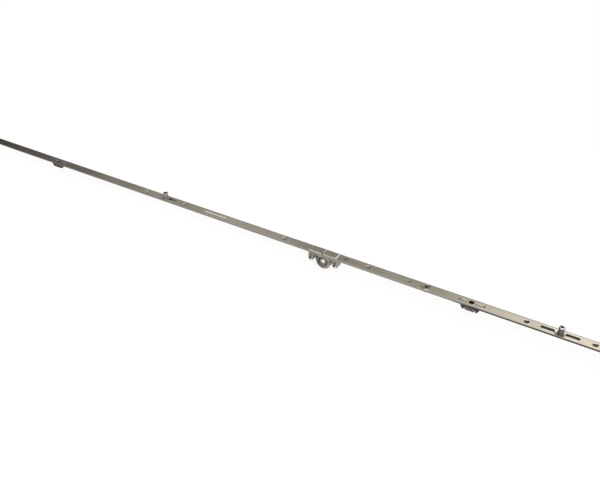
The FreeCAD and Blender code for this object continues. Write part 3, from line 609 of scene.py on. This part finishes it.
rod = plated("rod_zinc", (0.46, 0.44, 0.41, 1), 0.36, line_along=45.0)
cover = plated("cover_zinc", (0.42, 0.385, 0.33, 1), 0.28, line_along=45.0, line_across=5200.0)
rivet = plated("rivet_zinc", (0.66, 0.63, 0.58, 1), 0.30)
gear = plated("sintered_gear", (0.42, 0.405, 0.385, 1), 0.34, line_along=2500.0)
disc = plated("disc_nickel", (0.70, 0.68, 0.63, 1), 0.13, stain=0.05)
stud = plated("stud_zinc", (0.62, 0.61, 0.58, 1), 0.27, line_along=3000.0)
roller = plated("roller_nickel", (0.40, 0.39, 0.37, 1), 0.24, line_along=3000.0, line_across=300.0)
sunk_rivet = plated("sunk_rivet", (0.20, 0.175, 0.155, 1), 0.40)
eyelet = plated("eyelet_zinc", (0.34, 0.31, 0.27, 1), 0.30)
for finish in (rod, cover, rivet, gear, disc, stud, roller, sunk_rivet, eyelet):
    print(finish.material.name, len(finish.nodes), "nodes")

# %% [markdown]
# The rod is seen only through the strip's slots, and the walls of its own slots get painted shade
# there. A darker material on those faces would do, but the normal and the distance from the middle
# find them without touching the mesh.

# %% Finish the rod
WALL_TILT = (0.3, 0.7)
ROD_INSIDE = (0.0040, 0.0045)

# Painted shade on the walls of the rod's own slots.
rod_wall = rod.inside(WALL_TILT, abs(rod.axes(rod.normal)[2])) * rod.inside(ROD_INSIDE, abs(rod.y))
rod.set("Base Color", rod.blend(rod_wall, rod.base, STRIP_SHADE))
print("rod", len(rod.nodes), "nodes")

# %% [markdown]
# The eyelet is a hollow rivet that guides the rod. It is as dull as the face round it, its bore gets
# painted shade, and its two sides get a painted highlight. Comparing the steps along and across
# finds those sides without measuring an angle.

# %% Finish the eyelet
EYELET_PLACE = 0.168
EYELET_CROWN = (0.0067, 0.0069)
EYELET_SIDES = (-0.004, 0.002)
EYELET_BORE = 0.0025
EYELET_FADE = 0.0003
EYELET_HIGHLIGHT = (0.46, 0.425, 0.37, 1)

from_bore = eyelet.x - EYELET_PLACE
beyond_crown = eyelet.smooth(*EYELET_CROWN, eyelet.distance(from_bore, eyelet.y))
# Painted highlight on the eyelet's two sides.
side_highlight = beyond_crown * eyelet.smooth(*EYELET_SIDES, abs(eyelet.y) - abs(from_bore))
# Painted shade in the eyelet's bore.
open_bore = eyelet.spot(from_bore, eyelet.y, EYELET_BORE, EYELET_FADE)
eyelet.set("Base Color", layered(eyelet, eyelet.base, [(side_highlight, EYELET_HIGHLIGHT), (open_bore, STRIP_SHADE)]))
print("eyelet", len(eyelet.nodes), "nodes")

# %% [markdown]
# ## Painted highlights on the cover
# The cover's pressed slopes shine in the photograph as pale lines, so they get a painted highlight,
# while the little hole at the end of its centre line gets painted shade as a dark dot. The normal
# finds the slopes, because only they are tilted, and the steeper they are the paler the highlight.

# %% Finish the cover
COVER_SLOPE_HIGHLIGHT = (0.90, 0.85, 0.77, 1)
RECESS_SHADE = (0.05, 0.045, 0.04, 1)
LEVEL_TILT = (0.965, 0.995)
STEEP_TILT = (0.78, 0.90)

cover_up = abs(cover.axes(cover.normal)[2])
# Painted highlight on the pressed slopes, paler where they are steeper.
slope_highlight = cover.inside(LEVEL_TILT, cover_up) * (0.5 + cover.smooth(*STEEP_TILT, cover_up) * 0.5)
# Painted shade in the small hole at the end of the centre line.
cover_dot = cover.spot(cover.x, cover.y - DOT_PLACE, DOT_REACH)
cover.set("Base Color", layered(cover, cover.base, [(slope_highlight, COVER_SLOPE_HIGHLIGHT), (cover_dot, RECESS_SHADE)]))
print("cover", len(cover.nodes), "nodes")

# %% [markdown]
# ## Painted light and shade in the gear
# The broached walls of the gear's square hole are its brightest part, and they brighten with depth,
# as if light came in from the other side. A lamp behind the gear would light the case too, so the
# walls get paler tones instead. The front of the gear's nose is dull, and painted shade darkens the
# groove around it, less at the bottom.

# %% Finish the gear
SQUARE_HALF = (0.0037, 0.0038)
SQUARE_MOUTH = (0.42, 0.41, 0.39, 1)
SQUARE_WALL = (0.98, 0.97, 0.95, 1)
GEAR_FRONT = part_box("follower_gear")[0].y
SQUARE_DEPTH = (GEAR_FRONT + 0.0015, GEAR_FRONT + 0.0055)
FRONT_TILT = (0.85, 0.97)
NOSE_RADIUS = (0.0058, 0.0061)
NOSE_FACE = (0.20, 0.19, 0.18, 1)
LOW_PART = (0.0035, 0.0062)

front = gear.smooth(*FRONT_TILT, abs(gear.axes(gear.normal)[1]))
square = gear.inside(SQUARE_HALF, gear.larger(abs(gear.x), abs(gear.z)))
broached = gear.blend(gear.smooth(*SQUARE_DEPTH, gear.y), SQUARE_MOUTH, SQUARE_WALL)
# Painted shade in the groove around the nose, less at the bottom.
groove = gear.smooth(*NOSE_RADIUS, gear.distance(gear.x, gear.z))
GEAR_LAYERS = [
    (front * 0.7, NOSE_FACE),
    (square * (1.0 - front), broached),
    (groove * (1.0 - gear.smooth(*LOW_PART, -gear.z) * 0.7), RECESS_SHADE),
]
gear.set("Base Color", layered(gear, gear.base, GEAR_LAYERS))
print("gear", len(gear.nodes), "nodes")

# %% [markdown]
# ## The cams
# Both cams are made of the same parts, but they look different in the photograph, and a second set
# of finishes would repeat nearly everything. So one mask tells the upper cam from the lower one. The
# discs shine, and their rims and near sides get painted shade, so that they stand off from the strip.
# The upper disc gets some painted shade all over, and less on its rim and near side.

# %% Finish the discs
CAM_DEEP_SHADE = (0.07, 0.065, 0.06, 1)
CAM_SHADE = (0.15, 0.14, 0.125, 1)
CAM_SPLIT = (-0.01, 0.01)
DISC_TILT = (0.75, 0.95)
NEAR_SIDE = (0.0, 0.005)


def at_upper(finish):
    """1 on the pieces of the upper cam and 0 on those of the lower one."""
    return finish.inside(CAM_SPLIT, finish.x)


# Painted shade on the discs' rims and near sides, and over the whole upper disc.
disc_rim = disc.inside(DISC_TILT, abs(disc.axes(disc.normal)[2]))
DISC_LAYERS = [
    (at_upper(disc) * 0.3, CAM_SHADE),
    (disc.smooth(*NEAR_SIDE, -disc.y) * (0.8 - at_upper(disc) * 0.5), CAM_SHADE),
    (disc_rim * (1.0 - at_upper(disc) * 0.4), CAM_DEEP_SHADE),
]
disc.set("Base Color", layered(disc, disc.base, DISC_LAYERS))
print("discs", len(disc.nodes), "nodes")

# %% [markdown]
# The rollers are waisted, and their waist gets painted shade below a pale head. At the upper cam the
# waist gets less painted shade and the head gets some, the reverse of the lower one. Height and tilt
# are enough to find the head and the waist, because a roller only turns about its own axis.

# %% Finish the rollers
CAM_SOCKET_SHADE = (0.12, 0.11, 0.10, 1)
HEAD_HEIGHT = 0.0018
HEAD_BAND = (ROLLER_TOP - HEAD_HEIGHT, ROLLER_TOP - HEAD_HEIGHT / 2)
TOP_TILT = (0.5, 0.85)

# Painted shade on the rollers' waists, and on the upper roller's head.
waist = roller.inside(TOP_TILT, abs(roller.axes(roller.normal)[2]))
crown = roller.smooth(*HEAD_BAND, roller.z)
ROLLER_LAYERS = [
    (waist * (0.85 - at_upper(roller) * 0.45), CAM_SHADE),
    (crown * at_upper(roller) * 0.3, CAM_SOCKET_SHADE),
]
roller.set("Base Color", layered(roller, roller.base, ROLLER_LAYERS))
print("rollers", len(roller.nodes), "nodes")

# %% [markdown]
# A stud's head is a pale ring round a hexagon socket. The hexagon itself is cut into the solid, and
# painted shade darkens it. The shade reaches further out at the upper cam, where the photograph shows
# a wider dark spot, and there painted shade dulls the whole stud a little.

# %% Finish the studs
CAM_LIGHT = (0.59, 0.58, 0.55, 1)
SOCKET_RADII = (0.0031, 0.0023)

# Painted shade in the hexagon sockets, wider at the upper cam.
in_socket = 0.0
for station, radius in zip(STATIONS, SOCKET_RADII):
    in_socket = in_socket + stud.spot(stud.x - station, stud.y, radius)
lid = stud.smooth(*TOP_TILT, abs(stud.axes(stud.normal)[2]))
# Painted shade over the whole upper stud.
STUD_LAYERS = [(lid, CAM_LIGHT), (at_upper(stud) * 0.3, CAM_SOCKET_SHADE), (in_socket, CAM_SOCKET_SHADE)]
stud.set("Base Color", layered(stud, stud.base, STUD_LAYERS))
print("studs", len(stud.nodes), "nodes")

# %% [markdown]
# ## The cast case
# The gear's case is two zinc die castings. A casting has no brushing: its skin is a fine grain,
# dull, and greyer in places, where the metal flowed or the die was worn. So it gets two noises, a
# fine one for the grain and a slow one for the flow, and no drawn-out lines.

# %% Cast the case
CAST_TONE = (0.36, 0.32, 0.285, 1)
CAST_DULL = (0.23, 0.205, 0.185, 1)
CAST_METAL = 0.85
GRAIN_STEPS = 2600.0
FLOW_STEPS = 140.0
FLOW_SHARE = (0.38, 0.68)
CAST_ROUGHNESS = 0.42
GRAIN_DEPTH = 0.00003
GRAIN_STRENGTH = 0.5

cast = Finish("zinc_casting", CAST_METAL)
grain = cast.noise(cast.place, GRAIN_STEPS, detail=3.0, roughness=0.65)
flow = cast.noise(cast.place, FLOW_STEPS, detail=4.0)
skin = cast.blend(cast.smooth(*FLOW_SHARE, flow), CAST_TONE, CAST_DULL)
cast.set("Roughness", CAST_ROUGHNESS + grain * 0.14 + flow * 0.08)
cast.set("Normal", cast.bump(grain, GRAIN_DEPTH, GRAIN_STRENGTH))
print("casting skin", len(cast.nodes), "nodes")

# %% [markdown]
# In the photograph the case is much darker at its lower left and along one part of the boss's brim,
# and the gear's bore is black, less at the bottom. The soft light of this scene throws no such shade,
# so all three are painted shade: the first follows the way that a surface faces, the second the turn
# around the gear's axis, and the third the distance from it.

# %% Shade the case
CAST_SHADE = (0.07, 0.065, 0.06, 1)
SHADE_X, SHADE_Z = -0.75, -0.65
SHADE_TILT = (0.35, 0.85)
SHADE_FRONT = (0.0, 0.002)
BORE_RADIUS = 0.0078
BORE_FADE = 0.0003
BOSS_RADIUS = -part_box("gear_case_near")[0].z
BRIM_STARTS = (BOSS_RADIUS - 0.0042, BOSS_RADIUS - 0.0034)
BRIM_ENDS = (BOSS_RADIUS + 0.0005, BOSS_RADIUS + 0.0015)
BRIM_X, BRIM_Z = -0.9, -0.45
BRIM_TURN = (0.1, 0.5)
BRIM_FRONT = (0.0035, 0.0045)

facing = cast.axes(cast.normal)
# Painted shade on the faces that turn to the lower left.
shade = cast.smooth(*SHADE_TILT, facing[0] * SHADE_X + facing[2] * SHADE_Z)
shade = shade * cast.smooth(*SHADE_FRONT, -cast.y)
from_axis = cast.distance(cast.x, cast.z)
turned = (cast.x * BRIM_X + cast.z * BRIM_Z) / from_axis
# Painted shade along one part of the boss's brim.
brim = cast.smooth(*BRIM_STARTS, from_axis) * cast.smooth(*BRIM_TURN, turned)
brim = brim * cast.inside(BRIM_ENDS, from_axis) * cast.smooth(*BRIM_FRONT, -cast.y)
# Painted shade in the gear's bore, less at the bottom.
bore = cast.spot(cast.x, cast.z, BORE_RADIUS, BORE_FADE)
bore = bore * (1.0 - cast.smooth(*LOW_PART, -cast.z) * 0.6)
CAST_LAYERS = [(shade * 0.85, CAST_SHADE), (brim * 0.85, CAST_SHADE), (bore, RECESS_SHADE)]
cast.set("Base Color", layered(cast, skin, CAST_LAYERS))
print("casting finish", len(cast.nodes), "nodes")

# %% [markdown]
# ## The plastics
# The packers are black moulded plastic with a slightly brown cast, and the centring pin is
# red-brown. Both have a satin skin with a fine spark-eroded grain, so one function moulds both.

# %% Mould the plastics
PLASTIC_IOR = 1.5
PLASTIC_SPECULAR = 0.35
SKIN_STEPS = 3500.0
SKIN_DEPTH = 0.00002
SKIN_STRENGTH = 0.4
PALE_GAIN = 1.6
PALE_STEPS = 200.0
PALE_SHARE = (0.45, 0.75)


def moulded(name, tone, roughness):
    """Moulded plastic with a fine grain and slow pale patches."""
    finish = Finish(name, 0.0, IOR=PLASTIC_IOR, Specular_IOR_Level=PLASTIC_SPECULAR)
    eroded = finish.noise(finish.place, SKIN_STEPS, detail=2.0)
    slow = finish.noise(finish.place, PALE_STEPS, detail=3.0)
    pale = tuple(min(1.0, channel * PALE_GAIN) for channel in tone[:3]) + (1,)
    finish.base = finish.blend(finish.smooth(*PALE_SHARE, slow), tone, pale)
    finish.set("Base Color", finish.base)
    finish.set("Roughness", roughness + eroded * 0.12)
    finish.set("Normal", finish.bump(eroded, SKIN_DEPTH, SKIN_STRENGTH))
    return finish


packer = moulded("packer_plastic", (0.024, 0.020, 0.019, 1), 0.42)
pin = moulded("pin_plastic", (0.085, 0.035, 0.028, 1), 0.50)
print("plastics", packer.material.name, pin.material.name)

# %% [markdown]
# The photograph shows pale panes on the packers' sides, read here as the ground between their ribs.
# It lies between two depths on both sides of the packer and ends short of the strip, so two steps in
# Y and one in Z find it.

# %% Show the ground between the packers' ribs
PACKER_PANE = (0.34, 0.32, 0.30, 1)
PANE_STARTS = (0.0045, 0.0047)
PANE_ENDS = (0.0050, 0.0052)
PANE_TILT = (0.6, 0.9)
PANE_TOP = (BACK - 0.0040, BACK - 0.0037)

depth = abs(packer.y)
pane = packer.smooth(*PANE_STARTS, depth) - packer.smooth(*PANE_ENDS, depth)
pane = pane * packer.smooth(*PANE_TILT, abs(packer.axes(packer.normal)[1]))
pane = pane * packer.inside(PANE_TOP, packer.z)
packer.set("Base Color", packer.blend(pane, packer.base, PACKER_PANE))
print("packers", len(packer.nodes), "nodes")

# %% [markdown]
# ## Softened edges
# Nothing on the bench has a perfectly sharp edge, and metal shows it: every edge catches a thin
# line of light. Each piece is therefore taken from the frame as a mesh, its flat faces are joined
# up again, and a narrow bevel is laid on its sharp edges. The new piece stands exactly where the
# plain one stood, so the frame's own piece is hidden behind it.

# %% Soften a piece of the frame
SAME_PLACE = 1e-6
SAME_PLANE = math.radians(0.6)
BEVEL_FROM = math.radians(28)
BEVEL_SEGMENTS = 2
FLAT_WEIGHT = 80


def applied(piece):
    """Bakes a piece's modifiers into its mesh."""
    depsgraph = bpy.context.evaluated_depsgraph_get()
    final = bpy.data.meshes.new_from_object(piece.evaluated_get(depsgraph))
    piece.modifiers.clear()
    piece.data = final


def softened(name, finish, width, crease):
    """A copy of a frame's piece with joined flat faces and bevelled edges."""
    work = bmesh.new()
    work.from_mesh(nodes[name].data)
    bmesh.ops.remove_doubles(work, verts=work.verts, dist=SAME_PLACE)
    bmesh.ops.dissolve_limit(work, angle_limit=SAME_PLANE, verts=work.verts, edges=work.edges)
    for face in work.faces:
        face.smooth = True
    for edge in work.edges:
        if len(edge.link_faces) == 2 and crease < edge.calc_face_angle(0.0) < BEVEL_FROM:
            edge.smooth = False
    mesh = bpy.data.meshes.new(name + "_eased")
    work.to_mesh(mesh)
    work.free()
    piece = bpy.data.objects.new(name + "_eased", mesh)
    bpy.context.scene.collection.objects.link(piece)
    bevel = piece.modifiers.new("arris", "BEVEL")
    bevel.limit_method = "ANGLE"
    bevel.angle_limit = BEVEL_FROM
    bevel.width = width
    bevel.segments = BEVEL_SEGMENTS
    bevel.use_clamp_overlap = True
    weighted = piece.modifiers.new("flats", "WEIGHTED_NORMAL")
    weighted.weight = FLAT_WEIGHT
    weighted.keep_sharp = True
    applied(piece)
    piece.data.materials.clear()
    piece.data.materials.append(finish.material)
    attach(piece, body_of[name])
    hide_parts(name)
    return piece


bodies = frame["record"]["behaviour"]["bodies"]
body_of = {name: body for body, members in bodies.items() for name in members}

# %% [markdown]
# The widths follow the making: sheared strip is eased by a tenth of a millimetre, castings and
# mouldings are rounder, and turned rollers keep crisp edges. The cover's pressed slopes meet at
# shallow angles, so its creases are kept sharp from a smaller angle on.

# %% Dress every piece
CRISP = 0.00006
SHEARED = 0.0001
CAST_ROUND = 0.00022
CREASES = {"gear_cover": math.radians(12)}
DRESSING = {
    "faceplate": (strip, "strip_steel", SHEARED),
    "drive_rod": (rod, "rod_steel", SHEARED),
    "gear_cover": (cover, "cover_steel", CRISP),
    "gear_case_near": (cast, "die_cast", CAST_ROUND),
    "gear_case_far": (cast, "die_cast", CAST_ROUND),
    "case_rivets": (sunk_rivet, "rivet_steel", SHEARED),
    "follower_gear": (gear, "gear_metal", CRISP),
    "upper_packer": (packer, "black_plastic", CAST_ROUND),
    "lower_packer": (packer, "black_plastic", CAST_ROUND),
    "packer_rivets": (rivet, "rivet_steel", SHEARED),
    "guide_rivets": (rivet, "rivet_steel", SHEARED),
    "guide_eyelet": (eyelet, "rivet_steel", CRISP),
    "centering_pin": (pin, "pin_plastic", SHEARED),
    "upper_cam_disc": (disc, "disc_steel", CRISP),
    "lower_cam_disc": (disc, "disc_steel", CRISP),
    "upper_cam_stud": (stud, "stud_steel", CRISP),
    "lower_cam_stud": (stud, "stud_steel", CRISP),
    "upper_cam_roller": (roller, "roller_steel", CRISP),
    "lower_cam_roller": (roller, "roller_steel", CRISP),
    "cam_washers": (rod, "rod_steel", CRISP),
}
for name, (finish, slot, width) in DRESSING.items():
    piece = softened(name, finish, width, CREASES.get(name, BEVEL_FROM))
    print(piece.name, len(piece.data.polygons), "faces")

# %% [markdown]
# ## Closing
# The view is kept plain, so that a tone renders as it is written.

# %% Keep the view plain
bpy.context.scene.view_settings.view_transform = "Standard"
